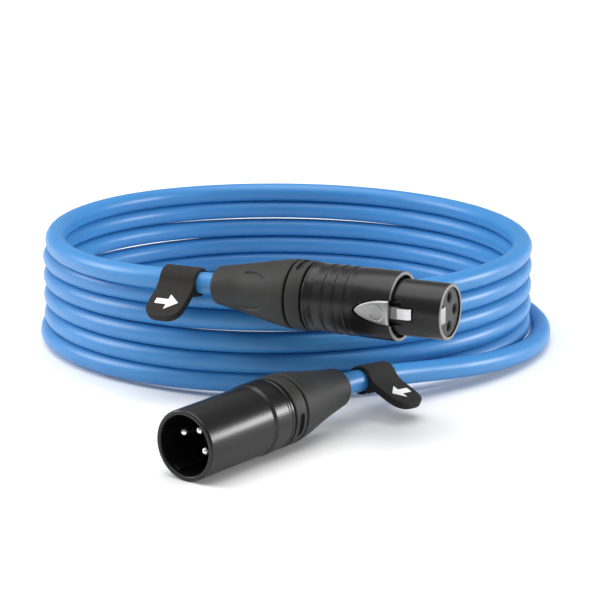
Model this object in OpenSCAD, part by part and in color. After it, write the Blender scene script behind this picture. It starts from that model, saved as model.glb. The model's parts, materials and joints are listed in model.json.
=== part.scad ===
// XLR microphone cable wound into a standing coil, with a female and a male connector
// and an identification tag behind each of them. All lengths are millimetres.

/* [Cable] */
// Diameter of the cable jacket
cable_d = 6.5; // [6:0.1:7]
// Radius of a turn, measured to the middle of the cable
turn_r = 77.7; // [77:0.1:79]
// Height that one turn climbs
turn_pitch = 6.3; // [6.2:0.05:6.5]
// How much wider the last loop swings out for each turn that it lies on the floor
last_loop_spread = 2; // [1:0.1:3]

/* [Connectors] */
// Outer diameter of the female shell
shell_d = 19.8; // [19.4:0.1:20]
// Outer diameter of the male shell in front of its wide band
male_shell_d = 19.4; // [18.8:0.1:19.6]
// Inner diameter of the male shell's mouth
mouth_d = 16.5; // [16.2:0.1:16.8]
// Outer diameter of the female nose
nose_d = 15.9; // [15.7:0.1:16.1]
// Diameter of a contact pin
pin_d = 2.4; // [2.3:0.05:2.5]
// Diameter of a socket contact's bore
socket_d = 2.5; // [2.5:0.05:2.6]
// Radius of the circle that the three contacts stand on
contact_r = 4.15; // [4:0.05:4.3]

/* [Boots] */
// Length of a boot
boot_l = 26.6; // [25:0.1:27]
// Diameter of a boot where the cable leaves it
boot_end_d = 11.2; // [10:0.1:12]
// Diameter of a boot where it meets the coding ring
boot_d = 20.3; // [19.8:0.1:20.4]
// Width of a coding ring
ring_w = 5.3; // [5:0.1:6]

/* [Tags] */
// Width of a tag along the cable
tag_w = 12; // [10:0.5:13]
// Thickness of a tag's tail
tag_t = 2.2; // [1.8:0.1:2.5]
// Length of a tag's tail below the middle of the cable
tag_l = 16.8; // [15:0.1:20]

/* [Hidden] */
$fn = 64;

cable_blue = [0.29, 0.56, 0.85];
rubber_black = [0.22, 0.22, 0.22];
shell_black = [0.08, 0.08, 0.08];
bare_metal = [0.78, 0.78, 0.78];
insert_grey = [0.35, 0.35, 0.35];
mark_white = [0.95, 0.95, 0.95];

cable_r = cable_d / 2;

// The coil's middle, seen from the middle of the whole object's footprint
coil_centre = [-2.5, 37.6, 0];
// Where each cable leaves its boot, seen from the coil's middle
female_end = [-20, -84.4, 36.3];
male_end = [14.9, -102.8, 10.55];
// Direction that each connector's nose points to, in degrees from +X
female_yaw = -27;
male_yaw = 232;
// The male connector leans down to its mouth, because its mouth is slimmer than its back
male_dip = 0.8;

// ---- lengths along a connector, from the boot's thin end ----
ring_end = boot_l + ring_w;
female_shell_end = ring_end + 27.4;
nose_end = female_shell_end + 14.4;
male_shell_end = ring_end + 34.8;
chuck_start = 16;
jacket_end = 25;
shell_bore_r = 8.4;
insert_r = 6.85;

// ---- latch, with its push tab on the side that faces -Y ----
latch_pivot_z = 49.8;
latch_pivot_y = -8;
tab_start = 48.3;
tab_end = 59;
tab_w = 6.9;
tab_outer = 10.3;
tab_inner = 8.7;
hook_start = 61.2;
hook_end = 65.2;
hook_w = 3;
hook_outer = 8.65;
slot_end = 65.7;
key_w = 4.6;
key_start = 67.5;
key_inner = 4.4;
// The insert's flat under the arm, which the leaf spring stands on
spring_seat = 5.4;
// Room round the key in the insert
key_gap = 0.1;

// ---- contacts: angle of each contact round the axis, the middle one second ----
contact_step = 87;
female_middle_angle = 90;
male_middle_angle = 152;
female_cup_z = 34;
male_cup_z = 36;
core_r = 0.7;
drain_r = 0.5;
// How far a core or drain wire reaches into its solder cup
cup_reach = 0.2;

// ---- how far each boot and coding ring is turned on its connector ----
female_scoop_turn = -8;
female_slot_angle = 193;
male_scoop_turn = -69;
male_slot_angle = 78;

module at_coil() translate(coil_centre) children();
// A connector is drawn standing on its boot's thin end, with its nose up +Z
module at_female() at_coil() translate(female_end)
  rotate([0, 0, female_yaw]) rotate([0, 90, 0]) children();
module at_male() at_coil() translate(male_end)
  rotate([0, 0, male_yaw]) rotate([0, 90 + male_dip, 0]) children();

// ================= cable =================

// Turns are counted clockwise from above, from the front of the top turn
floor_turn = 5.25;
first_turn = 0.28;
last_turn = 5.74;
tube_sides = 10;
ring_step = 0.04;
rest_gap = sqrt(cable_d * cable_d - turn_pitch * turn_pitch);

// How far the last loop lies outside the turn above it, as it rolls down beside it
function roll_out(u) =
  u <= -0.2 ? 0
  : u < 0 ? rest_gap * pow(1 + u / 0.2, 2)
  : sqrt(cable_d * cable_d - pow(turn_pitch * (1 - u), 2)) + last_loop_spread * u;
function pulled_in(s) = 1.3 * pow(max(0, 1 - (s - first_turn) / 0.25), 2);
function turn_height(s) = cable_r + turn_pitch * max(0, floor_turn - s);
function turn_point(s) =
  let (a = -90 - 360 * s, r = turn_r + roll_out(s - floor_turn) - pulled_in(s))
  [r * cos(a), r * sin(a), turn_height(s)];

// From the clamp inside the female connector to the top turn
female_route = [
  [2.3, -95.7, 36.3], [-20, -84.4, 36.3], [-28.9, -79.9, 36.3], [-36, -76.2, 36.2],
  [-45.4, -70.2, 36], [-54.5, -61.8, 35.7], [-64.4, -48.2, 35.4], [-71.3, -33, 35.1],
  [-75.3, -16.5, 34.9], [-76.4, 0, 34.8]
];
// From the last loop to the clamp inside the male connector
male_route = [
  [84.2, -6, 3.25], [82, -20, 3.4], [77.5, -33.5, 3.8], [71.5, -45, 4.5], [64, -55.5, 5.3],
  [55.5, -64.5, 6.2], [46.5, -71.9, 7.1], [37.6, -78.8, 8.1], [29.9, -85.6, 9.1],
  [24.3, -91.6, 9.8], [19.5, -97, 10.35], [14.9, -102.8, 10.55], [-0.5, -122.5, 10.2]
];

function unit(v) = v / norm(v);
function tangent(path, i) =
  unit(path[min(i + 1, len(path) - 1)] - path[max(i - 1, 0)]);
function ring_at(path, i) =
  let (t = tangent(path, i), side = unit(cross(t, [0, 0, 1])), up = cross(side, t))
  [for (j = [0 : tube_sides - 1])
    let (a = 360 * j / tube_sides)
    path[i] + cable_r * (cos(a) * side + sin(a) * up)];

module tube(path) {
  n = tube_sides;
  last = len(path) - 1;
  points = [for (i = [0 : last]) each ring_at(path, i)];
  sides = [for (i = [0 : last - 1], j = [0 : n - 1])
    let (k = (j + 1) % n) [i * n + j, i * n + k, (i + 1) * n + k, (i + 1) * n + j]];
  near_cap = [for (j = [n - 1 : -1 : 0]) j];
  far_cap = [for (j = [0 : n - 1]) last * n + j];
  polyhedron(points = points, faces = concat(sides, [near_cap, far_cap]), convexity = 6);
}

module cable_coil() color(cable_blue) at_coil() {
  top_turn_z = turn_height(1);
  rotate_extrude($fn = 96) translate([turn_r, 0]) {
    translate([-cable_r, 0]) square([cable_d, top_turn_z]);
    translate([0, top_turn_z]) circle(r = cable_r);
  }
}

module female_lead() color(cable_blue) at_coil() {
  turns = [for (s = [first_turn : ring_step : 1]) turn_point(s)];
  tube(concat(female_route, turns));
}

module male_lead() color(cable_blue) at_coil() {
  turns = [for (s = [floor_turn : ring_step : last_turn]) turn_point(s)];
  tube(concat(turns, male_route));
}

// ================= pieces that both connectors have =================

module lathe(profile) rotate_extrude() polygon(profile);

// A straight round rod from point a to point b
module rod(a, b, r) {
  d = b - a;
  translate(a) rotate([0, acos(d[2] / norm(d)), atan2(d[1], d[0])])
    cylinder(h = norm(d), r = r, $fn = 24);
}

// An outline with an oval front end, drawn out along -Y
module tongue(half_w, start, end) {
  translate([0, -3, 0]) rotate([90, 0, 0]) linear_extrude(height = 12) intersection() {
    translate([0, start]) scale([half_w, end - start]) circle(r = 1, $fn = 64);
    translate([-half_w, start]) square([2 * half_w, end - start]);
  }
}

// scoop_turn is the angle between a thumb scoop and the latch side
module boot(scoop_turn) {
  bore_r = 3.4;
  pocket_r = 7.55;
  pocket_start = chuck_start + 2;
  scoop_start = 11.5;
  scoop_end = 21.3;
  scoop_half_w = 5.2;
  difference() {
    lathe([
      [bore_r, 0], [boot_end_d / 2 - 1.4, 0], [boot_end_d / 2, 1.4], [6.75, 8], [7.75, 13],
      [8.95, 18.5], [9.75, 22.8], [boot_d / 2, 26.2], [boot_d / 2, boot_l],
      [pocket_r, boot_l], [pocket_r, pocket_start], [bore_r, pocket_start]
    ]);
    // thumb scoops on the two sides, deepest at their round front end
    for (turn = [0, 180])
      rotate([0, 0, turn + scoop_turn]) intersection() {
        lathe([[6.95, scoop_start], [9.1, scoop_end], [12, scoop_end], [12, scoop_start]]);
        tongue(scoop_half_w, scoop_start, scoop_end);
      }
  }
}

module coding_ring(slot_angle) {
  inner_r = 8.3;
  outer_r = 10;
  difference() {
    lathe([
      [inner_r, boot_l + 0.05], [outer_r - 0.4, boot_l + 0.05], [outer_r, boot_l + 0.45],
      [outer_r, ring_end - 0.45], [outer_r - 0.4, ring_end - 0.05], [inner_r, ring_end - 0.05]
    ]);
    rotate([0, 0, slot_angle]) translate([outer_r - 0.8, -3, boot_l + 1.7]) cube([3, 6, 1.8]);
  }
}

// Slotted cone that the bushing squeezes onto the jacket
module chuck() {
  grip_r = cable_r + 0.02;
  difference() {
    lathe([
      [grip_r, chuck_start + 2.2], [4.4, chuck_start + 2.2], [5.8, chuck_start + 5],
      [5.8, jacket_end + 3], [grip_r, jacket_end + 3]
    ]);
    for (turn = [0, 90])
      rotate([0, 0, turn + 45]) translate([-7, -0.5, chuck_start + 5]) cube([14, 1, 20]);
  }
}

module bushing() {
  cone_r = 5.9;
  sleeve_r = 7.5;
  thread_r = 8.2;
  thread_end = ring_end + 3.5;
  lathe([
    [4.5, chuck_start + 2.1], [sleeve_r, chuck_start + 2.1], [sleeve_r, boot_l + 0.1],
    [thread_r, boot_l + 0.1], [thread_r, thread_end], [cone_r + 0.4, thread_end],
    [cone_r + 0.4, jacket_end + 5.5], [cone_r, chuck_start + 5]
  ]);
}

// A core runs from the end of the jacket into the solder cup of its contact
module core(angle, r, cup_z) {
  spread = 1.4;
  start = [spread * cos(angle), spread * sin(angle), jacket_end + 0.25];
  end = [contact_r * cos(angle), contact_r * sin(angle), cup_z + cup_reach];
  rod(start, end, r);
}

function contact_angle(middle, i) = middle + (i - 2) * contact_step;
module at_contact(angle) rotate([0, 0, angle]) translate([contact_r, 0, 0]) children();

// ================= female connector =================

module female_shell() color(shell_black) at_female() {
  outer_r = shell_d / 2;
  nose_r = nose_d / 2;
  gap_r = 8.9;
  gap_start = female_shell_end - 2.6;
  bore_step = 47.5;
  nose_bore_r = insert_r + 0.05;
  grip_groove = 0.2;
  grips = [for (z = [38.2, 41.6, 45.2]) each [
    [outer_r, z], [outer_r - grip_groove, z + 0.2],
    [outer_r - grip_groove, z + 0.6], [outer_r, z + 2.6]]];
  difference() {
    union() {
      lathe(concat(
        [[shell_bore_r, ring_end], [outer_r, ring_end]],
        grips,
        [
          [outer_r, female_shell_end - 0.3], [outer_r - 0.3, female_shell_end], [gap_r, female_shell_end],
          [gap_r, gap_start], [nose_r, gap_start], [nose_r, nose_end - 0.35], [nose_r - 0.35, nose_end],
          [nose_bore_r, nose_end], [nose_bore_r, bore_step], [shell_bore_r, bore_step]
        ]));
      translate([-key_w / 2, -nose_bore_r - 0.4, key_start])
        cube([key_w, nose_bore_r + 0.4 - key_inner, nose_end - key_start]);
    }
    // window for the push tab
    translate([-tab_w / 2 - 0.35, -outer_r - 2, tab_start - 0.8])
      cube([tab_w + 0.7, outer_r + 2 - 6.3, female_shell_end - tab_start + 2]);
    // slot for the hook
    translate([-hook_w / 2 - 0.4, -outer_r - 2, tab_start])
      cube([hook_w + 0.8, outer_r + 2 - 6.3, slot_end - tab_start]);
    // holes for the pivot pin, in the window's side walls
    translate([0, latch_pivot_y, latch_pivot_z]) rotate([0, 90, 0])
      cylinder(h = 9.4, r = 0.52, center = true, $fn = 24);
  }
}

module female_insert() color(insert_grey) at_female() {
  flange_end = 47.4;
  front = nose_end - 0.7;
  difference() {
    lathe([[0, 38], [7.9, 38], [7.9, flange_end], [insert_r, flange_end], [insert_r, front], [0, front]]);
    for (i = [1 : 3])
      at_contact(contact_angle(female_middle_angle, i)) translate([0, 0, 37])
        cylinder(h = 40, r = 1.7, $fn = 32);
    // room for the tab, the arm and the key
    translate([-tab_w / 2 - 0.4, -10, tab_start - 1.5]) cube([tab_w + 0.8, 3.8, 16]);
    translate([-key_w / 2 - key_gap, -10, tab_start - 1.5])
      cube([key_w + 2 * key_gap, 10 - spring_seat, 40]);
    translate([-key_w / 2 - key_gap, -10, key_start - 0.5])
      cube([key_w + 2 * key_gap, 10 - key_inner + key_gap, 20]);
  }
}

module female_contact(i) color(bare_metal) at_female() at_contact(contact_angle(female_middle_angle, i)) {
  cup_z = female_cup_z;
  socket_z = 57;
  body_r = 1.65;
  difference() {
    lathe([
      [0, cup_z], [1.25, cup_z], [1.25, 44], [body_r, 44], [body_r, 71.8], [0, 71.8]
    ]);
    translate([0, 0, socket_z]) cylinder(h = 20, r = socket_d / 2, $fn = 32);
    translate([0, 0, cup_z - 1]) cylinder(h = 4, r = 0.9, $fn = 24);
  }
}

module female_contact_1() female_contact(1);
module female_contact_2() female_contact(2);
module female_contact_3() female_contact(3);

// Outline of the push tab: pointed and round at its tip, square at its front edge
tab_steps = 14;
tab_fullness = 0.58;
function tab_share(k) = pow(k / tab_steps, 2);
function tab_half_w(t) = tab_w / 2 * pow(1 - pow(1 - t, 2), tab_fullness);
function tab_z(t) = tab_start + (tab_end - tab_start) * t;
function tab_outline() = concat(
  [for (k = [0 : tab_steps]) let (t = tab_share(k)) [tab_half_w(t), tab_z(t)]],
  [for (k = [tab_steps : -1 : 1]) let (t = tab_share(k)) [-tab_half_w(t), tab_z(t)]]
);

module latch_lever() color(bare_metal) at_female() {
  arm_w = 3.3;
  barrel_r = 0.95;
  difference() {
    union() {
      translate([0, -tab_inner, 0]) rotate([90, 0, 0])
        linear_extrude(height = tab_outer - tab_inner) polygon(tab_outline());
      translate([0, latch_pivot_y, latch_pivot_z]) rotate([0, 90, 0])
        cylinder(h = 4.4, r = barrel_r, center = true, $fn = 32);
      translate([-arm_w / 2, -hook_outer + 0.3, latch_pivot_z])
        cube([arm_w, 0.9, hook_start - latch_pivot_z + 0.2]);
      // hook, sloped at its front so that a mating shell presses it down
      translate([-hook_w / 2, 0, 0]) rotate([90, 0, 90]) linear_extrude(height = hook_w)
        polygon([
          [-hook_outer, hook_start], [-7, hook_start], [-7, hook_end],
          [-hook_outer + 0.8, hook_end], [-hook_outer, hook_end - 1.6]
        ]);
    }
    translate([0, latch_pivot_y, latch_pivot_z]) rotate([0, 90, 0])
      cylinder(h = 10, r = 0.55, center = true, $fn = 24);
    // finger dimple
    translate([0, -tab_outer - 6.65, 55.7]) sphere(r = 7, $fn = 48);
  }
}

module latch_pin() color(bare_metal) at_female()
  translate([0, latch_pivot_y, latch_pivot_z]) rotate([0, 90, 0])
    cylinder(h = 9.2, r = 0.5, center = true, $fn = 24);

// Leaf spring on the insert's flat; it stands just short of the pressed arm
module latch_spring() color(bare_metal) at_female()
  translate([-1, 0, 0]) rotate([90, 0, 90]) linear_extrude(height = 2)
    polygon([[-5.75, 51], [-5.45, 51], [-5.45, 58], [-6.2, 61], [-6.45, 60.9], [-5.75, 58.1]]);

module female_ground_clip() color(bare_metal) at_female()
  rotate([0, 0, -60]) rotate_extrude(angle = 300)
    polygon([[7.95, 39.5], [8.35, 39.5], [8.35, 43.2], [7.95, 43.2]]);

module female_chuck() color("white") at_female() chuck();
module female_bushing() color(shell_black) at_female() bushing();
module female_coding_ring() color(rubber_black) at_female() coding_ring(female_slot_angle);
module female_boot() color(rubber_black) at_female() boot(female_scoop_turn);
module female_core_hot() color("red") at_female()
  core(contact_angle(female_middle_angle, 2), core_r, female_cup_z);
module female_core_cold() color("gainsboro") at_female()
  core(contact_angle(female_middle_angle, 3), core_r, female_cup_z);
module female_drain_wire() color(bare_metal) at_female()
  core(contact_angle(female_middle_angle, 1), drain_r, female_cup_z);

// ================= male connector =================

module male_shell() color(shell_black) at_male() {
  band_end = 40.4;
  bore_step = 41;
  outer_r = male_shell_d / 2;
  lathe([
    [shell_bore_r, ring_end], [shell_d / 2, ring_end], [shell_d / 2, band_end - 0.3], [outer_r, band_end],
    [outer_r, male_shell_end - 0.35], [outer_r - 0.35, male_shell_end],
    [mouth_d / 2 + 0.25, male_shell_end],
    [mouth_d / 2, male_shell_end - 0.25], [mouth_d / 2, bore_step], [shell_bore_r, bore_step]
  ]);
}

// Height of the insert's face, and the radius of the pins' shanks behind it
pin_floor_z = 50.5;
shank_r = 1.7;

module male_insert() color(shell_black) at_male() {
  insert_r = mouth_d / 2 - 0.03;
  difference() {
    lathe([[0, 41.5], [insert_r, 41.5], [insert_r, pin_floor_z], [0, pin_floor_z]]);
    for (i = [1 : 3])
      at_contact(contact_angle(male_middle_angle, i)) translate([0, 0, 40])
        cylinder(h = 20, r = shank_r + 0.02, $fn = 32);
  }
}

module male_pin(i) color(bare_metal) at_male() at_contact(contact_angle(male_middle_angle, i)) {
  r = pin_d / 2;
  tip = 63.3;
  cup_z = male_cup_z;
  difference() {
    union() {
      translate([0, 0, cup_z]) cylinder(h = pin_floor_z - cup_z, r = shank_r, $fn = 32);
      translate([0, 0, cup_z + 4]) cylinder(h = tip - r - cup_z - 4, r = r, $fn = 32);
      translate([0, 0, tip - r]) sphere(r = r, $fn = 32);
    }
    translate([0, 0, cup_z - 1]) cylinder(h = 4, r = 0.9, $fn = 24);
  }
}

module male_pin_1() male_pin(1);
module male_pin_2() male_pin(2);
module male_pin_3() male_pin(3);
module male_chuck() color("white") at_male() chuck();
module male_bushing() color(shell_black) at_male() bushing();
module male_coding_ring() color(rubber_black) at_male() coding_ring(male_slot_angle);
module male_boot() color(rubber_black) at_male() boot(male_scoop_turn);
module male_core_hot() color("red") at_male()
  core(contact_angle(male_middle_angle, 2), core_r, male_cup_z);
module male_core_cold() color("gainsboro") at_male()
  core(contact_angle(male_middle_angle, 3), core_r, male_cup_z);
module male_drain_wire() color(bare_metal) at_male()
  core(contact_angle(male_middle_angle, 1), drain_r, male_cup_z);

// ================= tags =================

tag_loop_r = 4.8;
tag_bore_r = cable_r + 0.25;
tag_corner = 4;
// Distance of the tail's outer face from the middle of the cable
tail_face = 2.3;
mark_t = 0.25;
// The middle of each tag's loop on the cable, and the direction of the cable there
female_tag_at = [-30, -79.3, 36.3];
male_tag_at = [25.2, -90.7, 9.75];
male_tag_yaw = 48;
male_tag_dip = 4.4;
// How far each tail stands away from hanging straight down, in degrees
female_tail_rise = 56;
male_tail_rise = 68;

module at_female_tag() at_coil() translate(female_tag_at) rotate([0, 0, female_yaw]) children();
module at_male_tag() at_coil() translate(male_tag_at) rotate([0, male_tag_dip, male_tag_yaw]) children();

// Loop round the cable and a tail that hangs on its -Y side
module tag() {
  half = tag_w / 2;
  difference() {
    union() {
      rotate([0, 90, 0]) cylinder(h = tag_w, r = tag_loop_r, center = true);
      translate([0, tag_t - tail_face, 0]) rotate([90, 0, 0]) linear_extrude(height = tag_t) union() {
        translate([-half, tag_corner - tag_l]) square([tag_w, tag_l - tag_corner]);
        for (side = [-1, 1])
          translate([side * (half - tag_corner), tag_corner - tag_l]) circle(r = tag_corner, $fn = 48);
        translate([tag_corner - half, -tag_l]) square([tag_w - 2 * tag_corner, tag_corner]);
      }
    }
    rotate([0, 90, 0]) cylinder(h = tag_w + 20, r = tag_bore_r, center = true);
  }
}

// A plain arrow, pointing to the connector
module tag_mark(direction) {
  translate([0, -tail_face, 6 - tag_l]) rotate([90, 0, 0]) linear_extrude(height = mark_t)
    scale([direction, 1])
      polygon([[-3.7, -1], [0.2, -1], [0.2, -2.9], [3.9, 0], [0.2, 2.9], [0.2, 1], [-3.7, 1]]);
}

module female_tag() color(rubber_black) at_female_tag() rotate([-female_tail_rise, 0, 0]) tag();
module female_tag_mark() color(mark_white) at_female_tag() rotate([-female_tail_rise, 0, 0]) tag_mark(1);
module male_tag() color(rubber_black) at_male_tag() rotate([-male_tail_rise, 0, 0]) tag();
module male_tag_mark() color(mark_white) at_male_tag() rotate([-male_tail_rise, 0, 0]) tag_mark(-1);

female_shell();
female_insert();
female_contact_1();
female_contact_2();
female_contact_3();
latch_lever();
latch_pin();
latch_spring();
female_ground_clip();
female_chuck();
female_bushing();
female_coding_ring();
female_boot();
female_core_hot();
female_core_cold();
female_drain_wire();
male_shell();
male_insert();
male_pin_1();
male_pin_2();
male_pin_3();
male_chuck();
male_bushing();
male_coding_ring();
male_boot();
male_core_hot();
male_core_cold();
male_drain_wire();
cable_coil();
female_lead();
male_lead();
female_tag();
female_tag_mark();
male_tag();
male_tag_mark();
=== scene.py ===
# XLR microphone cable wound into a standing coil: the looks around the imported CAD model.
# The sizes of the object are in millimetres; the floor and the lights are in metres.
import json
import math

import bmesh
import bpy
from mathutils import Matrix, Vector


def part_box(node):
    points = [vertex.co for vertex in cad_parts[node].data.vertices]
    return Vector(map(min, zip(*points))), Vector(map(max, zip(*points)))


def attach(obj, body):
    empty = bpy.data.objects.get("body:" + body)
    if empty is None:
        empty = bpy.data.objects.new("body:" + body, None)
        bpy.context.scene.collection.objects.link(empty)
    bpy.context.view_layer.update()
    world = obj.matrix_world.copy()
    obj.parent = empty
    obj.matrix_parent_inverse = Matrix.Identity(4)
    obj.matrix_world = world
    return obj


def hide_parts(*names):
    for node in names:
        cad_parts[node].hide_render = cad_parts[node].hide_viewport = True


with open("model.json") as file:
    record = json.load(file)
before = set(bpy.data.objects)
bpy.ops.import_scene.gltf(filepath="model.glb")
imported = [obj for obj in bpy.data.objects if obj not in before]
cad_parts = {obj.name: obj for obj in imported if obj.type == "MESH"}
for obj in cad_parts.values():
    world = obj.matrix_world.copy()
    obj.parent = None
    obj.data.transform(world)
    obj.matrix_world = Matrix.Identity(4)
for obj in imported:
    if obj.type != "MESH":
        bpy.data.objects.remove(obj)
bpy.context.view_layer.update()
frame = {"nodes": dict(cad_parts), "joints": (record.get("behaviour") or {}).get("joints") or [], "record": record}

MM = 0.001
scene = bpy.context.scene
mounts = {m["name"]: m for m in frame["record"]["mounts"]}

# ---- driving sizes, the same as in the CAD model ----
CABLE_D = 6.5
CABLE_R = CABLE_D / 2
TURN_R = 77.7
TURN_PITCH = 6.3
LAST_LOOP_SPREAD = 2
FLOOR_TURN = 5.25
FIRST_TURN = 0.28
LAST_TURN = 5.74

BOOT_L = 26.6
RING_END = 31.9
FEMALE_SHELL_END = 59.3
NOSE_END = 73.7
MALE_SHELL_END = 66.7
PIN_FLOOR = 50.5
CONTACT_R = 4.15
CONTACT_STEP = math.radians(87)

# Points of the cable's curve in each turn, which the CAD model draws with fewer
POINTS_A_TURN = 30


def middle_of(node):
    low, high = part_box(node)
    return (Vector(low) + Vector(high)) / 2


coil_centre = middle_of("cable_coil") / MM
coil_centre.z = 0


# ================= camera =================

# Counted from the coil's middle, on the floor
CAMERA_PLACE = Vector((4.1, -655.8, 169.9))
CAMERA_DIP = math.radians(13.6)
camera_data = bpy.data.cameras.new("camera")
camera_data.sensor_width = 36
camera_data.lens = 120.7
camera_data.clip_start = 0.01
camera_data.clip_end = 20
camera = bpy.data.objects.new("camera", camera_data)
camera.location = (coil_centre + CAMERA_PLACE) * MM
camera.rotation_euler = (math.pi / 2 - CAMERA_DIP, 0, 0)
scene.collection.objects.link(camera)
scene.camera = camera


# ================= materials =================

def set_input(shader, name, value):
    if name in shader.inputs:
        shader.inputs[name].default_value = value


def material(name, colour, roughness, metallic=0.0, vary=0.1, vary_scale=60, grain=4000, bump=0.1,
             stretch=(1, 1, 1), bump_distance=0.00005, rough_vary=0.06, **shader_inputs):
    """A procedural material: a cloudy variation of colour and roughness, and a fine grain as bump."""
    mat = bpy.data.materials.new(name)
    mat.use_nodes = True
    tree = mat.node_tree
    nodes, links = tree.nodes, tree.links
    shader = nodes["Principled BSDF"]
    set_input(shader, "Metallic", metallic)
    for key, value in shader_inputs.items():
        set_input(shader, key.replace("_", " "), value)
    coords = nodes.new("ShaderNodeTexCoord")
    cloud = nodes.new("ShaderNodeTexNoise")
    cloud.inputs["Scale"].default_value = vary_scale
    cloud.inputs["Detail"].default_value = 4
    links.new(coords.outputs["Object"], cloud.inputs["Vector"])
    ramp = nodes.new("ShaderNodeValToRGB")
    dark = [c * (1 - vary) for c in colour]
    light = [min(1, c * (1 + vary)) for c in colour]
    ramp.color_ramp.elements[0].position = 0.3
    ramp.color_ramp.elements[0].color = (*dark, 1)
    ramp.color_ramp.elements[1].position = 0.7
    ramp.color_ramp.elements[1].color = (*light, 1)
    links.new(cloud.outputs["Fac"], ramp.inputs["Fac"])
    links.new(ramp.outputs["Color"], shader.inputs["Base Color"])
    rough = nodes.new("ShaderNodeMapRange")
    rough.inputs["To Min"].default_value = max(0, roughness - rough_vary)
    rough.inputs["To Max"].default_value = min(1, roughness + rough_vary)
    mapping = nodes.new("ShaderNodeMapping")
    mapping.inputs["Scale"].default_value = stretch
    links.new(coords.outputs["Object"], mapping.inputs["Vector"])
    fine = nodes.new("ShaderNodeTexNoise")
    fine.inputs["Scale"].default_value = grain
    fine.inputs["Detail"].default_value = 3
    links.new(mapping.outputs["Vector"], fine.inputs["Vector"])
    links.new(fine.outputs["Fac"], rough.inputs["Value"])
    links.new(rough.outputs["Result"], shader.inputs["Roughness"])
    height = nodes.new("ShaderNodeBump")
    height.inputs["Strength"].default_value = bump
    height.inputs["Distance"].default_value = bump_distance
    links.new(fine.outputs["Fac"], height.inputs["Height"])
    links.new(height.outputs["Normal"], shader.inputs["Normal"])
    return mat


jacket = material("cable_jacket", (0.036, 0.225, 0.54), 0.4, vary=0.04, vary_scale=40, grain=3000,
                  bump=0.06, Specular_IOR_Level=0.55)
boot_plastic = material("boot_plastic", (0.024, 0.024, 0.023), 0.55, vary=0.08, vary_scale=300,
                        grain=6500, bump=0.35, Specular_IOR_Level=0.3)
shell_black = material("shell_black", (0.0045, 0.0045, 0.0048), 0.29, vary=0.15, vary_scale=200,
                       grain=5000, bump=0.12, Specular_IOR_Level=0.4)
bare_metal = material("bare_metal", (0.72, 0.72, 0.73), 0.34, metallic=1, vary=0.05, vary_scale=500,
                      grain=4000, bump=0.1)
latch_metal = material("latch_metal", (0.38, 0.38, 0.385), 0.42, metallic=1, vary=0.05, vary_scale=600,
                       grain=7000, bump=0.2)
# A darker copy of the latch metal for the arm: painted shade, since the arm sits lower than the hook, in shadow
arm_metal_painted_shade = material("arm_metal_painted_shade", (0.25, 0.25, 0.25), 0.5, metallic=1, vary=0.05, vary_scale=600,
                     grain=7000, bump=0.2)
rim_metal = material("rim_metal", (0.24, 0.24, 0.24), 0.5, metallic=1, vary=0.05, vary_scale=500,
                     grain=5000, bump=0.15)
key_metal = material("key_metal", (0.4, 0.4, 0.4), 0.45, metallic=1, vary=0.05, vary_scale=500,
                     grain=5000, bump=0.15)
contact_metal = material("contact_metal", (0.86, 0.86, 0.85), 0.16, metallic=1, vary=0.03,
                         grain=3000, bump=0.04)
insert_grey = material("insert_grey", (0.038, 0.038, 0.039), 0.6, vary=0.1, vary_scale=400, grain=6000,
                       bump=0.2)
insert_black = material("insert_black", (0.014, 0.014, 0.014), 0.5, vary=0.1, vary_scale=400, grain=6000,
                        bump=0.2)
tag_rubber = material("tag_rubber", (0.016, 0.015, 0.0142), 0.78, vary=0.1, vary_scale=500, grain=5500,
                      bump=0.45, Specular_IOR_Level=0.3)
mark_print = material("mark_print", (0.86, 0.86, 0.85), 0.7, vary=0.03, grain=5000, bump=0.2)
chuck_white = material("chuck_white", (0.7, 0.7, 0.66), 0.45, vary=0.05, grain=3000)
bushing_black = material("bushing_black", (0.03, 0.03, 0.03), 0.45, vary=0.1, grain=3000)
core_red = material("core_red", (0.5, 0.02, 0.02), 0.4, vary=0.05, grain=3000)
core_white = material("core_white", (0.75, 0.75, 0.72), 0.4, vary=0.05, grain=3000)
copper = material("copper", (0.8, 0.42, 0.28), 0.3, metallic=1, vary=0.05, grain=6000,
                  stretch=(1, 1, 0.1), bump=0.3)


# ================= cable =================

def smoothstep(low, high, value):
    t = min(1, max(0, (value - low) / (high - low)))
    return t * t * (3 - 2 * t)


# How far out the last loop lies where it reaches the floor and still touches the turn above it, and
# the share of a turn in which it gets there
REST_GAP = math.sqrt(CABLE_D ** 2 - TURN_PITCH ** 2)
ROLL_TURNS = 0.2


def roll_out(u):
    """How far the last loop lies outside the turn above it, u turns after it reaches the floor."""
    if u <= -ROLL_TURNS:
        return 0
    if u < 0:
        return REST_GAP * (1 + u / ROLL_TURNS) ** 2
    return math.sqrt(CABLE_D ** 2 - (TURN_PITCH * (1 - u)) ** 2) + LAST_LOOP_SPREAD * u


# Slits between turns, where light shows through: place in a turn, reach, the turn from which on the
# cable lies below them, and how far the cable above them is up and the cable below them is down
SLITS = [(0.5, 0.13, 2, 0.34, 0.2), (0.37, 0.07, 3, 0.3, 0.35), (0.03, 0.08, 2.5, 0.18, 0.32)]
# The turns over which the way down fades out, above the loop on the floor
SETTLED_TURNS = (4.2, 4.8)


def settle(s):
    """How far a turn lies above its even place: the turns near the floor stay in theirs."""
    lift = 0
    for place, reach, below_turn, up, down in SLITS:
        off = (s - place + 0.5) % 1 - 0.5
        share = math.exp(-(off / reach) ** 2)
        lift += share * (up if s < below_turn else -down * (1 - smoothstep(*SETTLED_TURNS, s)))
    return lift


# How far the top turn's start, where the female lead joins it, is pulled in, and over how many turns
PULLED_IN = 1.3
PULLED_TURNS = 0.25


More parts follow.
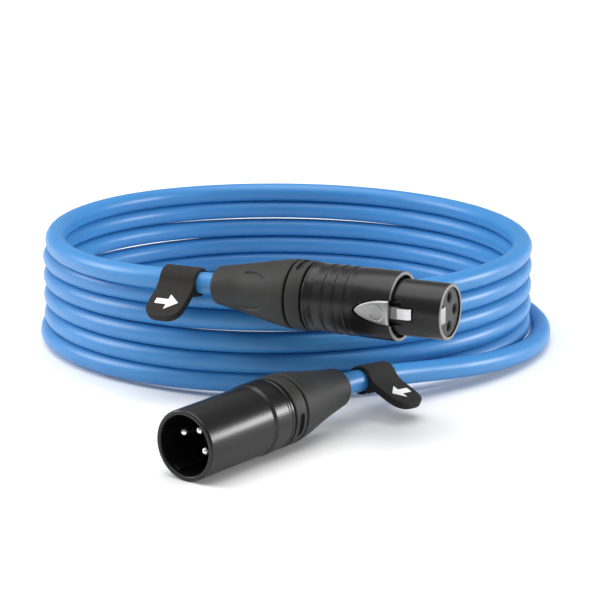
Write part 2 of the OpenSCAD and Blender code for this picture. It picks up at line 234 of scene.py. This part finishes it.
def turn_point(s):
    """The middle of the cable s turns on, clockwise from the front of the top turn."""
    pulled_in = PULLED_IN * max(0, 1 - (s - FIRST_TURN) / PULLED_TURNS) ** 2
    radius = TURN_R + roll_out(s - FLOOR_TURN) - pulled_in
    angle = -math.pi / 2 - 2 * math.pi * s
    height = CABLE_R + TURN_PITCH * max(0, FLOOR_TURN - s) + settle(s)
    return Vector((radius * math.cos(angle), radius * math.sin(angle), height))


# From the clamp inside the female connector to the top turn
FEMALE_ROUTE = [
    (2.3, -95.7, 36.3), (-20, -84.4, 36.3), (-28.9, -79.9, 36.3), (-36, -76.2, 36.2),
    (-45.4, -70.2, 36), (-54.5, -61.8, 35.7), (-64.4, -48.2, 35.4), (-71.3, -33, 35.1),
    (-75.3, -16.5, 34.9), (-76.4, 0, 34.8),
]
# From the last loop to the clamp inside the male connector
MALE_ROUTE = [
    (84.2, -6, 3.25), (82, -20, 3.4), (77.5, -33.5, 3.8), (71.5, -45, 4.5), (64, -55.5, 5.3),
    (55.5, -64.5, 6.2), (46.5, -71.9, 7.1), (37.6, -78.8, 8.1), (29.9, -85.6, 9.1),
    (24.3, -91.6, 9.8), (19.5, -97, 10.35), (14.9, -102.8, 10.55), (-0.5, -122.5, 10.2),
]

coiled_points = round((LAST_TURN - FIRST_TURN) * POINTS_A_TURN)
coiled = [turn_point(FIRST_TURN + (LAST_TURN - FIRST_TURN) * i / coiled_points)
          for i in range(coiled_points + 1)]
route = [Vector(p) for p in FEMALE_ROUTE] + coiled + [Vector(p) for p in MALE_ROUTE]


def make_cable():
    curve = bpy.data.curves.new("cable", "CURVE")
    curve.dimensions = "3D"
    curve.bevel_depth = CABLE_R * MM
    curve.bevel_resolution = 7
    curve.resolution_u = 6
    curve.use_fill_caps = True
    spline = curve.splines.new("BEZIER")
    spline.bezier_points.add(len(route) - 1)
    for point, place in zip(spline.bezier_points, route):
        point.co = (coil_centre + place) * MM
        point.handle_left_type = point.handle_right_type = "AUTO"
    cable = bpy.data.objects.new("cable", curve)
    scene.collection.objects.link(cable)
    curve.materials.append(jacket)
    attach(cable, "cable")
    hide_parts("cable_coil", "female_lead", "male_lead")
    return cable


cable = make_cable()


# ================= mesh helpers =================

def connector_place(mount_name, length):
    """Matrix from a connector's own millimetres, standing on its boot's thin end, to the row frame."""
    mount = mounts[mount_name]
    along = Vector(mount["axis"]).normalized()
    start = Vector(mount["pos_m"]) - along * length * MM
    side = Vector((-along.y, along.x, 0)).normalized()
    axes = Matrix((side.cross(along), side, along)).transposed().to_4x4()
    return Matrix.Translation(start) @ axes @ Matrix.Scale(MM, 4)


female_place = connector_place("female_nose", NOSE_END)
male_place = connector_place("male_mouth", MALE_SHELL_END)


def add_mesh(name, bm, place, mat, smooth_angle=35):
    mesh = bpy.data.meshes.new(name)
    bmesh.ops.recalc_face_normals(bm, faces=bm.faces)
    bm.to_mesh(mesh)
    bm.free()
    mesh.materials.append(mat)
    obj = bpy.data.objects.new(name, mesh)
    scene.collection.objects.link(obj)
    mesh.transform(place)
    mesh.shade_smooth()
    mesh.set_sharp_from_angle(angle=math.radians(smooth_angle))
    return obj


def bake_modifiers(obj, smooth_angle=35):
    """Applies the modifiers to the mesh."""
    shown = obj.evaluated_get(bpy.context.evaluated_depsgraph_get())
    mesh = bpy.data.meshes.new_from_object(shown)
    obj.modifiers.clear()
    obj.data = mesh
    mesh.shade_smooth()
    mesh.set_sharp_from_angle(angle=math.radians(smooth_angle))
    return obj


def boolean(obj, cutters, operation="DIFFERENCE"):
    for cutter in cutters:
        step = obj.modifiers.new("cut", "BOOLEAN")
        step.operation = operation
        step.solver = "EXACT"
        step.object = cutter
    bake_modifiers(obj)
    for cutter in cutters:
        bpy.data.objects.remove(cutter, do_unlink=True)
    return obj


def rounded(points, radius, steps=4):
    """The outline with rounded corners: radius is one number, or a dict of corner number to radius."""
    out = []
    count = len(points)
    for i, corner in enumerate(points):
        r = radius.get(i, 0) if isinstance(radius, dict) else radius
        a, b = points[i - 1], points[(i + 1) % count]
        la = math.dist(a, corner)
        lb = math.dist(b, corner)
        t = min(r, 0.45 * la, 0.45 * lb)
        if t <= 0:
            out.append(corner)
            continue
        p = [corner[k] + (a[k] - corner[k]) * t / la for k in (0, 1)]
        q = [corner[k] + (b[k] - corner[k]) * t / lb for k in (0, 1)]
        for j in range(steps + 1):
            w = j / steps
            near_p, near_corner, near_q = (1 - w) ** 2, 2 * w * (1 - w), w ** 2
            out.append(tuple(near_p * p[k] + near_corner * corner[k] + near_q * q[k] for k in (0, 1)))
    return out


def lathe(name, profile, place, mat, segments=160, shape=None, smooth_angle=35):
    """Turns a closed outline of (radius, height) round the axis; shape moves each point."""
    bm = bmesh.new()
    rings = []
    for k in range(segments):
        a = 2 * math.pi * k / segments
        ring = []
        for r, z in profile:
            p = Vector((r * math.cos(a), r * math.sin(a), z))
            ring.append(bm.verts.new(shape(p, a) if shape else p))
        rings.append(ring)
    count = len(profile)
    for k in range(segments):
        here, there = rings[k], rings[(k + 1) % segments]
        for i in range(count):
            j = (i + 1) % count
            bm.faces.new((here[i], here[j], there[j], there[i]))
    bmesh.ops.remove_doubles(bm, verts=bm.verts, dist=1e-5)
    bmesh.ops.dissolve_degenerate(bm, edges=bm.edges, dist=1e-6)
    return add_mesh(name, bm, place, mat, smooth_angle)


def prism(name, outline, low, high, place, mat, bevel=0.0):
    """An outline in local X, Z, drawn out along local Y from low to high."""
    bm = bmesh.new()
    near = [bm.verts.new((x, low, z)) for x, z in outline]
    far = [bm.verts.new((x, high, z)) for x, z in outline]
    count = len(outline)
    bm.faces.new(near)
    bm.faces.new(list(reversed(far)))
    for i in range(count):
        j = (i + 1) % count
        bm.faces.new((near[j], near[i], far[i], far[j]))
    if bevel:
        bmesh.ops.bevel(bm, geom=[e for e in bm.edges if e.calc_face_angle(0) > 0.6], offset=bevel,
                        segments=3, profile=0.5, affect="EDGES")
    return add_mesh(name, bm, place, mat)


def box_outline(half_w, start, end, corner=0.0):
    points = [(-half_w, start), (half_w, start), (half_w, end), (-half_w, end)]
    return rounded(points, corner) if corner else points


def contact_places(middle_angle):
    for i in (-1, 0, 1):
        a = middle_angle + i * CONTACT_STEP
        yield CONTACT_R * math.cos(a), CONTACT_R * math.sin(a)


def finish_piece(obj, body, slot_name, *nodes):
    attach(obj, body)
    if nodes:
        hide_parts(*nodes)
    return obj


# ================= boots and coding rings =================

BOOT_SHAPE = [(5.55, 0), (5.75, 2), (6.85, 8), (7.8, 13), (8.95, 18.5), (9.72, 22.8), (10.12, 26.2)]
SCOOP_START, SCOOP_END = 11.5, 21.3
SCOOP_HALF_ANGLE = math.radians(46.5)
# A boot's bore for the cable, and its pocket for the bushing
BOOT_BORE_R = 3.45
BOOT_POCKET_R = 7.6
BOOT_POCKET_START = 18
# Length of the round at a boot's thin end, and how far before its other end the outside stops
BOOT_END_ROUND = 1.9
BOOT_LIP = 0.6


def along(points, z):
    for (r0, z0), (r1, z1) in zip(points, points[1:]):
        if z <= z1:
            return r0 + (r1 - r0) * (z - z0) / (z1 - z0)
    return points[-1][0]


def boot_radius(z):
    """The boot's radius at height z, on a smooth line through its shape."""
    width = 1.6
    last = BOOT_SHAPE[-1][1]
    return sum(along(BOOT_SHAPE, min(last, max(0, z + width * k / 4))) for k in range(-4, 5)) / 9


def make_boot(name, place, scoop_angle, step, body, node):
    """A tapered boot with an oval step on each of its two sides for the thumb and a finger."""

    def scooped(p, a):
        r = math.hypot(p.x, p.y)
        if r < 5 or not 1 < p.z < SCOOP_END + 1:
            return p
        depth = 0
        for turn in (0, math.pi):
            off = abs(math.atan2(math.sin(a - scoop_angle - turn), math.cos(a - scoop_angle - turn)))
            share = off / SCOOP_HALF_ANGLE
            reach = math.hypot(share, max(0, p.z - SCOOP_START) / (SCOOP_END - SCOOP_START))
            oval = 1 - smoothstep(0.972, 1.0, reach)
            before_scoop = 1 - smoothstep(SCOOP_START - 0.25, SCOOP_START, p.z)
            behind = before_scoop * (1 - smoothstep(1, 1.8, share))
            fade_back = smoothstep(2, SCOOP_START - 1, p.z)
            depth = max(depth, step * fade_back * max(oval, behind))
        scale = (r - depth) / r
        return Vector((p.x * scale, p.y * scale, p.z))

    steps = 170
    low, high = BOOT_END_ROUND, BOOT_L - BOOT_LIP
    outer = [(boot_radius(z), z) for z in (low + (high - low) * i / steps for i in range(steps + 1))]
    first_r = outer[0][0]
    end_round = [(first_r - low + low * math.sin(a), low - low * math.cos(a))
                 for a in (math.pi / 2 * i / 10 for i in range(10))]
    last_r = outer[-1][0]
    lip = [(last_r - 0.25, BOOT_L - 0.3), (9.1, BOOT_L - 0.3), (9.1, BOOT_L - 0.7),
           (BOOT_POCKET_R, BOOT_L - 0.7), (BOOT_POCKET_R, BOOT_POCKET_START),
           (BOOT_BORE_R, BOOT_POCKET_START), (BOOT_BORE_R, 0.4), (3.6, 0)]
    profile = end_round + outer + lip
    boot = lathe(name, profile, place, boot_plastic, segments=320, shape=scooped, smooth_angle=50)
    return finish_piece(boot, body, "boot_rubber", node)


def make_coding_ring(name, place, slot_angle, body, node):
    inner_r, outer_r = 8.35, 10.05
    low, high = BOOT_L + 0.35, RING_END - 0.4
    slot_half_l, slot_half_w = 3.4, 0.95
    profile = rounded([(inner_r, low), (outer_r, low), (outer_r, high), (inner_r, high)],
                      {1: 0.3, 2: 0.3})
    ring = lathe(name, profile, place, boot_plastic, segments=224)
    across = Matrix.Rotation(slot_angle, 4, "Z") @ Matrix.Translation((outer_r, 0, (low + high) / 2))
    turned = across @ Matrix.Rotation(-math.pi / 2, 4, "Z")
    slot_outline = rounded([(-slot_half_l, -slot_half_w), (slot_half_l, -slot_half_w),
                            (slot_half_l, slot_half_w), (-slot_half_l, slot_half_w)], 0.9, 6)
    cutter = prism("cutter", slot_outline, -0.9, 2, place @ turned, boot_plastic)
    boolean(ring, [cutter])
    return finish_piece(ring, body, "boot_rubber", node)


FEMALE_SCOOP = math.radians(-98)
MALE_SCOOP = math.radians(201)
FEMALE_SLOT = math.radians(193)
MALE_SLOT = math.radians(78)
FEMALE_SCOOP_DEPTH = 0.65
MALE_SCOOP_DEPTH = 0.12
make_boot("female_boot_cover", female_place, FEMALE_SCOOP, FEMALE_SCOOP_DEPTH, "cable", "female_boot")
make_boot("male_boot_cover", male_place, MALE_SCOOP, MALE_SCOOP_DEPTH, "cable", "male_boot")
make_coding_ring("female_ring", female_place, FEMALE_SLOT, "cable", "female_coding_ring")
make_coding_ring("male_ring", male_place, MALE_SLOT, "cable", "male_coding_ring")


# ================= female connector =================

def paint_faces(obj, mat, place, choose):
    """Gives mat to the faces whose centre and normal, in the connector's own frame, choose picks."""
    obj.data.materials.append(mat)
    index = len(obj.data.materials) - 1
    back = place.inverted()
    turn = back.to_3x3()
    for face in obj.data.polygons:
        centre = back @ face.center
        normal = (turn @ face.normal).normalized()
        if choose(centre, normal):
            face.material_index = index


TAB_START, TAB_END, TAB_HALF_W = 48.4, 59.0, 3.45
# How full the tab's pointed back is: 0.5 is an ellipse
TAB_FULLNESS = 0.58
# The latch arm and its pivot, on the side that faces -Y
PIVOT_Y, PIVOT_Z = -8, 49.8
ARM_START, ARM_END = 50.4, 61.5
HOOK_START, HOOK_END = 61.2, 65.2
HOOK_SLOT_END = 65.7
# The key inside the nose reaches 0.7 further in than in the CAD model
KEY_START = 67.5
KEY_HALF_W = 2.3
KEY_OUTER, KEY_INNER = -7.3, -3.7
# Y of the floors that the cuts leave: in the shell, and in the insert under the arm and the key
WINDOW_FLOOR = -6.3
ARM_FLAT = -5.4
KEY_WAY_FLOOR = -3.5


def tab_outline(half_w, start, end):
    """The push tab's outline, pointed at its back."""
    length = TAB_END - TAB_START
    shares = [(i / 24) ** 2 for i in range(25)]
    side = [(half_w * (1 - (1 - t) ** 2) ** TAB_FULLNESS, start + length * t) for t in shares]
    side.append((half_w, end))
    return side + [(-x, z) for x, z in reversed(side[1:])]


def make_female_shell():
    outer_r, nose_r, gap_r = 9.9, 7.95, 8.85
    bore_r, nose_bore_r = 8.4, 6.95
    gap_start = FEMALE_SHELL_END - 2.6
    profile = [(bore_r, RING_END + 0.2), (9.75, RING_END + 0.2), (9.95, RING_END + 0.4),
               (9.95, RING_END + 0.95), (9.75, RING_END + 1.2), (9.75, 34.9)]
    # three grip bands, each rising to the front and dropping sharply
    for start in (34.9, 38.3, 41.7):
        profile += [(9.68, start), (9.68, start + 0.5), (9.92, start + 2.9), (9.92, start + 3.25)]
    profile += [
        (9.68, 45.1), (9.7, 45.8), (outer_r - 0.05, 47.4), (outer_r, 50),
        (outer_r, FEMALE_SHELL_END - 0.3), (outer_r - 0.2, FEMALE_SHELL_END),
        (gap_r, FEMALE_SHELL_END), (gap_r, gap_start), (nose_r, gap_start),
        (nose_r, NOSE_END - 0.25), (nose_r - 0.2, NOSE_END), (nose_bore_r, NOSE_END),
        (nose_bore_r, 48), (bore_r, 48),
    ]
    profile = rounded(profile, 0.12, 3)
    shell = lathe("female_housing", profile, female_place, shell_black, segments=256, smooth_angle=28)
    # window for the tab, which follows the tab's pointed outline, and the slot for the hook
    around_tab = tab_outline(TAB_HALF_W + 0.22, TAB_START - 0.35, TAB_END + 3)
    window = prism("cutter", around_tab, -13, WINDOW_FLOOR, female_place, shell_black)
    hook_slot = prism("cutter3", box_outline(1.85, 52, HOOK_SLOT_END, 0.3), -13, WINDOW_FLOOR,
                      female_place, shell_black)
    boolean(shell, [window, hook_slot])

    def is_bare(centre, normal):
        r = math.hypot(centre.x, centre.y)
        shell_face = centre.z > FEMALE_SHELL_END - 0.3 and centre.z < 60 and r > gap_r - 0.05
        rim = centre.z > NOSE_END - 0.2 and r > nose_bore_r
        return shell_face or rim

    paint_faces(shell, rim_metal, female_place, is_bare)
    finish_piece(shell, "cable", "connector_shell", "female_shell")
    key = prism("nose_key", box_outline(KEY_HALF_W, KEY_START, NOSE_END - 0.02, 0.15), KEY_OUTER,
                KEY_INNER, female_place, key_metal, bevel=0.12)
    finish_piece(key, "cable", "connector_shell")


def make_female_insert():
    front = NOSE_END - 0.55
    profile = rounded([(0, 46), (6.9, 46), (6.9, front), (0, front)], {2: 0.2})
    insert = lathe("female_contact_block", profile, female_place, insert_grey, segments=160)
    cutters = []
    for n, (x, y) in enumerate(contact_places(math.pi / 2)):
        hole = [(0, 40), (1.45, 40), (1.45, front - 0.3), (1.8, front + 0.05), (1.8, front + 2),
                (0, front + 2)]
        hole_place = female_place @ Matrix.Translation((x, y, 0))
        cutters.append(lathe(f"hole{n}", hole, hole_place, insert_grey, 48))
    # each room's name, outline and floor
    rooms = [
        ("arm_room", box_outline(2.4, 40, 80, 0.1), ARM_FLAT),
        ("key_way", box_outline(KEY_HALF_W + 0.25, KEY_START - 0.5, 80, 0.1), KEY_WAY_FLOOR),
        ("tab_room", box_outline(3.9, 40, 63), -6.2),
    ]
    for name, outline, floor in rooms:
        cutters.append(prism(name, outline, -12, floor, female_place, insert_grey))
    boolean(insert, cutters)
    finish_piece(insert, "cable", "insert_grey", "female_insert")


def make_latch():
    """Push tab with its engraved finger circle, the arm and the sloped hook."""
    top, thick = -10.25, 1.5
    ring_z, ring_r = 55.7, 2.15
    rows, columns = 110, 64
    length = TAB_END - TAB_START
    bm = bmesh.new()
    grid = []
    for i in range(rows + 1):
        share = (i / rows) ** 2
        z = TAB_START + length * share
        w = TAB_HALF_W * (1 - (1 - share) ** 2) ** TAB_FULLNESS
        row = []
        for j in range(columns + 1):
            x = w * math.sin(math.pi / 2 * (2 * j / columns - 1))
            edge = min(w - abs(x), TAB_END - z)
            roll = 0.45 * (1 - min(1, edge / 0.6)) ** 2
            crown = 0.4 * (x / TAB_HALF_W) ** 2
            from_ring = math.hypot(x, z - ring_z)
            groove = 0.24 * math.exp(-((from_ring - ring_r) / 0.16) ** 2)
            inside = 0.12 * (1 - smoothstep(ring_r - 0.4, ring_r, from_ring))
            fall = 0.7 * (1 - share) ** 2
            row.append(bm.verts.new((x, top + roll + crown + groove + inside + fall, z)))
        grid.append(row)
    for i in range(1, rows):
        for j in range(columns):
            bm.faces.new((grid[i][j], grid[i][j + 1], grid[i + 1][j + 1], grid[i + 1][j]))
    for j in range(columns):
        bm.faces.new((grid[0][0], grid[1][j + 1], grid[1][j]))
    for v in grid[0][1:]:
        bm.verts.remove(v)
    boundary = [e for e in bm.edges if e.is_boundary]
    walls = bmesh.ops.extrude_edge_only(bm, edges=boundary)["geom"]
    low = [v for v in walls if isinstance(v, bmesh.types.BMVert)]
    for v in low:
        v.co.y = top + thick
    rim = [e for e in bm.edges if e.is_boundary]
    bmesh.ops.holes_fill(bm, edges=rim, sides=0)
    tab = add_mesh("latch_tab", bm, female_place, latch_metal, smooth_angle=40)
    finish_piece(tab, "latch", "latch_metal", "latch_lever")
    # the arm gets the darker metal of painted shade
    arm = prism("latch_arm", box_outline(1.65, ARM_START, ARM_END), -8.35, -7.5, female_place, arm_metal_painted_shade,
                bevel=0.12)
    finish_piece(arm, "latch", "latch_metal")
    # the arm's eye, round the pivot pin, narrow enough for the window's pointed end
    across = Matrix.Translation((0, PIVOT_Y, PIVOT_Z)) @ Matrix.Rotation(math.pi / 2, 4, "Y")
    eye_bore_r, eye_r, eye_half_l = 0.56, 0.95, 0.95
    eye_profile = rounded([(eye_bore_r, -eye_half_l), (eye_r, -eye_half_l), (eye_r, eye_half_l),
                           (eye_bore_r, eye_half_l)], 0.08, 2)
    # the eye also gets the arm's darker metal of painted shade
    eye = lathe("latch_eye", eye_profile, female_place @ across, arm_metal_painted_shade, 48)
    finish_piece(eye, "latch", "latch_metal")
    bm = bmesh.new()
    side = rounded([(-8.65, HOOK_START), (-7, HOOK_START), (-7, HOOK_END), (-7.9, HOOK_END),
                    (-8.65, HOOK_END - 1)], 0.18, 3)
    left = [bm.verts.new((-1.5, y, z)) for y, z in side]
    right = [bm.verts.new((1.5, y, z)) for y, z in side]
    bm.faces.new(left)
    bm.faces.new(list(reversed(right)))
    for i in range(len(side)):
        j = (i + 1) % len(side)
        bm.faces.new((left[j], left[i], right[i], right[j]))
    bmesh.ops.bevel(bm, geom=[e for e in bm.edges if e.calc_face_angle(0) > 1.2], offset=0.1, segments=2,
                    affect="EDGES")
    hook = add_mesh("latch_hook", bm, female_place, bare_metal)
    finish_piece(hook, "latch", "latch_metal")


make_female_shell()
make_female_insert()
make_latch()


# ================= male connector =================

MALE_MIDDLE = math.radians(152)


def make_male_shell():
    outer_r, band_r, mouth_r = 9.7, 10.05, 8.25
    band_end = 40.4
    profile = [
        (8.4, RING_END + 0.2), (9.8, RING_END + 0.2), (band_r, RING_END + 0.4), (band_r, RING_END + 1.1),
        (9.9, RING_END + 1.3), (9.9, RING_END + 2), (band_r, RING_END + 2.4), (band_r, band_end - 0.8),
        (outer_r, band_end + 0.4), (outer_r, MALE_SHELL_END - 0.45), (outer_r - 0.35, MALE_SHELL_END),
        (mouth_r + 0.25, MALE_SHELL_END), (mouth_r, MALE_SHELL_END - 0.35), (mouth_r, 41), (8.4, 41),
    ]
    shell = lathe("male_housing", rounded(profile, 0.25, 4), male_place, shell_black, segments=256,
                  smooth_angle=30)
    finish_piece(shell, "cable", "connector_shell", "male_shell")
    key_angle = MALE_MIDDLE + math.pi
    turn = Matrix.Rotation(key_angle + math.pi / 2, 4, "Z")
    rib = prism("male_key_rib", box_outline(1.1, PIN_FLOOR, MALE_SHELL_END - 1.2, 0.2), -8.4, -7.55,
                male_place @ turn, shell_black, bevel=0.15)
    finish_piece(rib, "cable", "connector_shell")


def make_male_insert():
    face_z = PIN_FLOOR
    profile = rounded([(0, 42), (8.22, 42), (8.22, face_z), (7.3, face_z), (7.3, face_z - 0.5),
                       (0, face_z - 0.5)], 0.12, 3)
    insert = lathe("male_contact_block", profile, male_place, insert_black, segments=160)
    finish_piece(insert, "cable", "insert_black", "male_insert")
    pin_start, pin_tip, pin_r = 36, 63.3, 1.2
    collar_bore_r, collar_r = 1.22, 2.1
    collar_profile = rounded([(collar_bore_r, face_z - 0.6), (collar_r, face_z - 0.6),
                              (collar_r, face_z + 0.3), (collar_bore_r, face_z + 0.3)], 0.15, 3)
    dome = [(pin_r * math.cos(a), pin_tip - pin_r + pin_r * math.sin(a))
            for a in (math.pi / 2 * k / 10 for k in range(11))]
    for n, (x, y) in enumerate(contact_places(MALE_MIDDLE)):
        pin_place = male_place @ Matrix.Translation((x, y, 0))
        collar = lathe(f"male_pin_collar_{n + 1}", collar_profile, pin_place, insert_black, 64)
        finish_piece(collar, "cable", "insert_black")
        pin = lathe(f"male_contact_{n + 1}", [(0, pin_start), (pin_r, pin_start)] + dome, pin_place,
                    contact_metal, 64)
        finish_piece(pin, "cable", "contact_metal", f"male_pin_{n + 1}")


make_male_shell()
make_male_insert()


# ================= tags =================

joints = {j["name"]: j for j in frame["joints"]}
TAG_W = 12.0
TAG_T = 2.2
TAG_L = 16.8
# Distance of the tail's outer face from the middle of the cable
TAG_FACE = 2.3
# The loop's outer radius, which is 4.8 in the CAD model, its bore, and how much it thins under the
# cable
TAG_LOOP_R = 4.4
TAG_BORE_R = 3.5
TAG_THINNING = 0.06
# How far the mark's middle is from the tail's end
MARK_UP = 6
# How far each tail stands away from hanging straight down, in degrees
FEMALE_TAG_RISE = 56
MALE_TAG_RISE = 68


def tag_place(joint_name, rise):
    """The tag's own frame: X along the cable, tail along -Z on the -Y side, rise degrees off hanging."""
    joint = joints[joint_name]
    x_axis = -Vector(joint["axis"]).normalized()
    y_axis = Vector((0, 0, 1)).cross(x_axis).normalized()
    z_axis = x_axis.cross(y_axis)
    axes = Matrix((x_axis, y_axis, z_axis)).transposed().to_4x4()
    start = Matrix.Translation(Vector(joint["pos_m"]))
    return start @ axes @ Matrix.Rotation(math.radians(-rise), 4, "X") @ Matrix.Scale(MM, 4)


def make_tag(name, joint_name, rise, body, node, mark_node, direction):
    place = tag_place(joint_name, rise)
    half = TAG_W / 2
    drawn = Matrix.Scale(1, 4)
    outline = rounded([(-half, -1), (half, -1), (half, -TAG_L), (-half, -TAG_L)], {2: 7, 3: 7}, 12)
    tail = prism("tail", outline, -TAG_FACE, TAG_T - TAG_FACE, drawn, tag_rubber)
    loop_profile = rounded([(TAG_BORE_R, -half), (TAG_LOOP_R, -half), (TAG_LOOP_R, half),
                            (TAG_BORE_R, half)], 0.25, 3)
    lie = Matrix.Rotation(math.pi / 2, 4, "Y")
    under = math.radians(rise)

    def thinned(p, a):
        """The strap is stretched thin under the cable."""
        if math.hypot(p.x, p.y) < TAG_BORE_R + 0.3:
            return p
        scale = 1 - TAG_THINNING * max(0, math.cos(a - under))
        return Vector((p.x * scale, p.y * scale, p.z))

    loop = lathe("loop", loop_profile, lie, tag_rubber, 96, shape=thinned)
    # the strap's two layers run together on their way from the loop to the tail
    layers = [(-3.3, -2.9), (-2.7, -4.1), (-TAG_FACE, -6.2), (TAG_T - TAG_FACE, -6.2),
              (0.6, -5.2), (1.8, -4.4), (0, -3.8), (-2.5, -2.7)]
    bm = bmesh.new()
    near = [bm.verts.new((-half, y, z)) for y, z in layers]
    far = [bm.verts.new((half, y, z)) for y, z in layers]
    bm.faces.new(near)
    bm.faces.new(list(reversed(far)))
    for i in range(len(layers)):
        j = (i + 1) % len(layers)
        bm.faces.new((near[j], near[i], far[i], far[j]))
    web = add_mesh("web", bm, drawn, tag_rubber)
    bore_half = half + 9
    bore = lathe("bore", [(0, -bore_half), (TAG_BORE_R, -bore_half), (TAG_BORE_R, bore_half),
                          (0, bore_half)], lie, tag_rubber, 96)
    boolean(tail, [loop, web], "UNION")
    boolean(tail, [bore])
    tail.name = name
    step = tail.modifiers.new("even", "REMESH")
    step.mode = "VOXEL"
    step.voxel_size = 0.2
    soft = tail.modifiers.new("soft", "SMOOTH")
    soft.factor = 0.6
    soft.iterations = 9
    bake_modifiers(tail, 80)
    tail.data.transform(place)
    if not tail.data.materials:
        tail.data.materials.append(tag_rubber)
    finish_piece(tail, body, "tag_rubber", node)
    arrow = [(-3.7, -1), (0.2, -1), (0.2, -2.9), (3.9, 0), (0.2, 2.9), (0.2, 1), (-3.7, 1)]
    moved = [(direction * x, MARK_UP - TAG_L + z) for x, z in rounded(arrow, 0.25, 3)]
    mark = prism(f"{name}_mark", moved, -TAG_FACE - 0.06, -TAG_FACE + 0.3, place, mark_print)
    finish_piece(mark, body, "mark_print", mark_node)


make_tag("female_tag_strap", "female_tag_swing", FEMALE_TAG_RISE, "female_tag", "female_tag",
         "female_tag_mark", 1)
make_tag("male_tag_strap", "male_tag_swing", MALE_TAG_RISE, "male_tag", "male_tag", "male_tag_mark", -1)


# ================= materials of the CAD pieces that stay =================

CAD_LOOKS = {
    "female_contact_1": contact_metal, "female_contact_2": contact_metal,
    "female_contact_3": contact_metal,
    "latch_pin": latch_metal, "latch_spring": latch_metal, "female_ground_clip": latch_metal,
    "female_chuck": chuck_white, "male_chuck": chuck_white,
    "female_bushing": bushing_black, "male_bushing": bushing_black,
    "female_core_hot": core_red, "male_core_hot": core_red,
    "female_core_cold": core_white, "male_core_cold": core_white,
    "female_drain_wire": copper, "male_drain_wire": copper,
}
for node_name, mat in CAD_LOOKS.items():
    node = frame["nodes"][node_name]
    node.data.materials.clear()
    node.data.materials.append(mat)


# ================= floor and light =================

def make_floor():
    floor_mat = material("floor_paper", (0.93, 0.93, 0.93), 0.85, vary=0.005, vary_scale=3, grain=900,
                         bump=0.02)
    bm = bmesh.new()
    # a hair below the object
    size, height = 6.0, -0.00005
    corners = [(-size, -size), (size, -size), (size, size), (-size, size)]
    bm.faces.new([bm.verts.new((x, y, height)) for x, y in corners])
    add_mesh("floor", bm, Matrix.Identity(4), floor_mat)


def area_light(name, place, target, size, power, spread=180):
    """A soft box: power in watts, spread in degrees."""
    data = bpy.data.lights.new(name, "AREA")
    data.shape = "RECTANGLE"
    data.size, data.size_y = size
    data.energy = power
    data.spread = math.radians(spread)
    lamp = bpy.data.objects.new(name, data)
    lamp.location = place
    lamp.rotation_euler = (Vector(target) - Vector(place)).to_track_quat("-Z", "Y").to_euler()
    scene.collection.objects.link(lamp)


make_floor()
# The right box is low, and draws the line of light along the male shell. The back light hangs over
# the floor behind the coil, and its limited spread keeps it off the connectors.
area_light("left_box", (-0.8, 0.12, 0.42), (0, 0.03, 0.02), (0.4, 0.4), 4.6)
area_light("right_box", (0.95, 0.06, 0.24), (0, -0.1, 0.02), (0.34, 0.22), 5.8)
area_light("top_box", (-0.1, -0.05, 1.2), (0, 0.0, 0), (1.5, 1.3), 16)
area_light("back_floor", (0, 1.35, 0.7), (0, 1.35, 0), (2.6, 0.9), 30, spread=95)
world = bpy.data.worlds.new("studio")
world.use_nodes = True
world.node_tree.nodes["Background"].inputs["Color"].default_value = (1, 1, 1, 1)
world.node_tree.nodes["Background"].inputs["Strength"].default_value = 0.36
scene.world = world
scene.view_settings.view_transform = "Standard"
scene.view_settings.look = "None"
